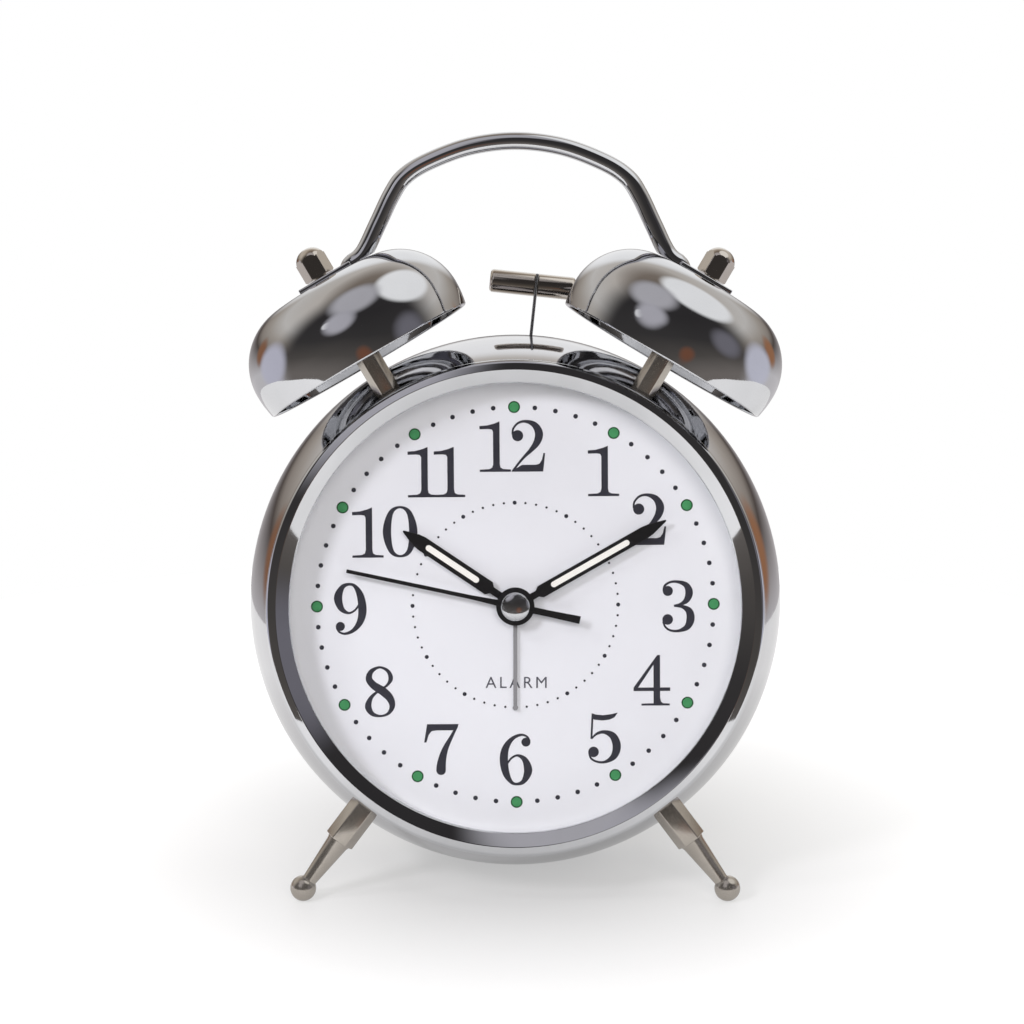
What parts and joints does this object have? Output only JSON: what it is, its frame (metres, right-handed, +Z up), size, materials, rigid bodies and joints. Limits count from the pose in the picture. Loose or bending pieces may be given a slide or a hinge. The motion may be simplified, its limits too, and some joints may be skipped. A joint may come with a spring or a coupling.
{
  "type": "twin bell alarm clock",
  "caption": "Round quartz alarm clock in a chrome drum, with a striking hammer between two bells, a carrying handle and splayed ball-foot legs.",
  "frame": {"origin": "centre of the footprint of the bounding box, on the surface the clock stands on", "axes": "+Z up, front of the dial towards -Y and leaning back 10.3 degrees, +X to the viewer's right"},
  "size_m": [0.118, 0.0628, 0.1652],
  "materials": {
    "chrome": "bright chrome plate",
    "nickel": "satin nickel plate",
    "steel": "bare zinc-plated steel",
    "brass": "turned brass",
    "glass": "clear flat glass",
    "dial": "printed matte white",
    "hand_black": "satin black paint",
    "hand_inlay": "matte white paint",
    "hand_grey": "satin grey paint",
    "black_plastic": "moulded, fine grain",
    "white_plastic": "moulded natural",
    "copper_wire": "enamelled copper winding",
    "circuit_board": "solder mask",
    "cell_label": "printed label"
  },
  "bodies": {
    "root": {"case_barrel": "chrome", "bezel_ring": "chrome", "crystal_lens": "glass", "dial_spacer": "white_plastic", "dial_plate": "dial", "mounting_ring": "black_plastic", "rear_cover": "black_plastic", "cover_screw_1": "steel", "cover_screw_2": "steel", "cover_screw_3": "steel", "left_bell": "chrome", "left_post": "nickel", "left_nut": "nickel", "right_bell": "chrome", "right_post": "nickel", "right_nut": "nickel", "carry_handle": "chrome", "left_leg": "nickel", "right_leg": "nickel", "striker_bracket": "steel", "striker_motor": "steel", "movement_front": "black_plastic", "movement_rear": "black_plastic", "stator": "steel", "drive_coil": "copper_wire", "circuit_board": "circuit_board", "crystal_can": "steel", "battery_tray": "black_plastic", "battery_cell": "cell_label", "positive_contact": "steel", "negative_contact": "steel"},
    "minute_train": {"centre_wheel": "white_plastic", "minute_hand": "hand_black", "minute_hand_inlay": "hand_inlay"},
    "hour_train": {"hour_wheel": "white_plastic", "hour_hand": "hand_black", "hour_hand_inlay": "hand_inlay"},
    "second_train": {"second_wheel": "white_plastic", "second_hand": "hand_black", "centre_cap": "chrome"},
    "third_wheel": {"third_wheel": "white_plastic"},
    "motion_wheel": {"motion_wheel": "white_plastic"},
    "time_knob": {"time_knob": "black_plastic"},
    "alarm_train": {"alarm_wheel": "white_plastic", "alarm_hand": "hand_grey"},
    "alarm_knob": {"alarm_knob": "black_plastic"},
    "rotor": {"rotor": "steel"},
    "fifth_wheel": {"fifth_wheel": "white_plastic"},
    "striker_pinion": {"striker_pinion": "brass"},
    "striker_gear": {"striker_gear": "white_plastic"},
    "hammer": {"hammer_head": "nickel", "hammer_wire": "steel", "hammer_lever": "brass"},
    "alarm_switch": {"alarm_switch": "black_plastic"},
    "battery_door": {"battery_door": "black_plastic"}
  },
  "joints": [
    {"name": "minute_hand_spin", "type": "hinge", "parent": "root", "child": "minute_train", "pos_m": [0, -0.00732, 0.06231], "axis": [0, 0.984, -0.1781], "continuous": true},
    {"name": "hour_hand_spin", "type": "hinge", "parent": "root", "child": "hour_train", "pos_m": [0, -0.00928, 0.06267], "axis": [0, 0.984, -0.1781], "continuous": true},
    {"name": "second_hand_spin", "type": "hinge", "parent": "root", "child": "second_train", "pos_m": [0, -0.00436, 0.06178], "axis": [0, 0.984, -0.1781], "continuous": true},
    {"name": "third_wheel_spin", "type": "hinge", "parent": "root", "child": "third_wheel", "pos_m": [0, -0.00293, 0.07534], "axis": [0, 0.984, -0.1781], "continuous": true},
    {"name": "motion_wheel_spin", "type": "hinge", "parent": "root", "child": "motion_wheel", "pos_m": [-0.012, -0.00732, 0.06231], "axis": [0, 0.984, -0.1781], "continuous": true},
    {"name": "time_knob_spin", "type": "hinge", "parent": "root", "child": "time_knob", "pos_m": [-0.012, 0.01908, 0.04534], "axis": [0, 0.984, -0.1781], "continuous": true},
    {"name": "alarm_hand_spin", "type": "hinge", "parent": "root", "child": "alarm_train", "pos_m": [0, -0.01027, 0.06285], "axis": [0, 0.984, -0.1781], "continuous": true},
    {"name": "alarm_knob_spin", "type": "hinge", "parent": "root", "child": "alarm_knob", "pos_m": [0.0104, 0.01937, 0.04691], "axis": [0, 0.984, -0.1781], "continuous": true},
    {"name": "rotor_spin", "type": "hinge", "parent": "root", "child": "rotor", "pos_m": [0.0151, -0.00568, 0.07137], "axis": [0, 0.984, -0.1781], "continuous": true},
    {"name": "fifth_wheel_spin", "type": "hinge", "parent": "root", "child": "fifth_wheel", "pos_m": [0.0095, -0.00276, 0.06504], "axis": [0, 0.984, -0.1781], "continuous": true},
    {"name": "striker_pinion_spin", "type": "hinge", "parent": "root", "child": "striker_pinion", "pos_m": [-0.016, 0.01842, 0.09221], "axis": [0, 0.984, -0.1781], "continuous": true},
    {"name": "striker_gear_spin", "type": "hinge", "parent": "root", "child": "striker_gear", "pos_m": [-0.0072, 0.01789, 0.08926], "axis": [0, 0.984, -0.1781], "continuous": true},
    {"name": "hammer_swing", "type": "hinge", "parent": "root", "child": "hammer", "pos_m": [0, 0.00814, 0.08594], "axis": [0, 0.984, -0.1781], "range_deg": [-17, 7]},
    {"name": "alarm_switch_slide", "type": "slide", "parent": "root", "child": "alarm_switch", "axis": [1, 0, 0], "range_m": [0, 0.005]},
    {"name": "battery_door_off", "type": "slide", "parent": "root", "child": "battery_door", "axis": [0, 0.984, -0.1781], "range_m": [0, 0.02]}
  ],
  "couplings": [
    {"joint": "minute_hand_spin", "follows": "second_hand_spin", "ratio": 0.016667},
    {"joint": "hour_hand_spin", "follows": "second_hand_spin", "ratio": 0.0013889},
    {"joint": "third_wheel_spin", "follows": "second_hand_spin", "ratio": -0.13333},
    {"joint": "motion_wheel_spin", "follows": "second_hand_spin", "ratio": -0.0055556},
    {"joint": "time_knob_spin", "follows": "second_hand_spin", "ratio": 0.016667},
    {"joint": "alarm_hand_spin", "follows": "alarm_knob_spin", "ratio": -0.5},
    {"joint": "rotor_spin", "follows": "fifth_wheel_spin", "ratio": -6},
    {"joint": "striker_pinion_spin", "follows": "striker_gear_spin", "ratio": -4}
  ]
}
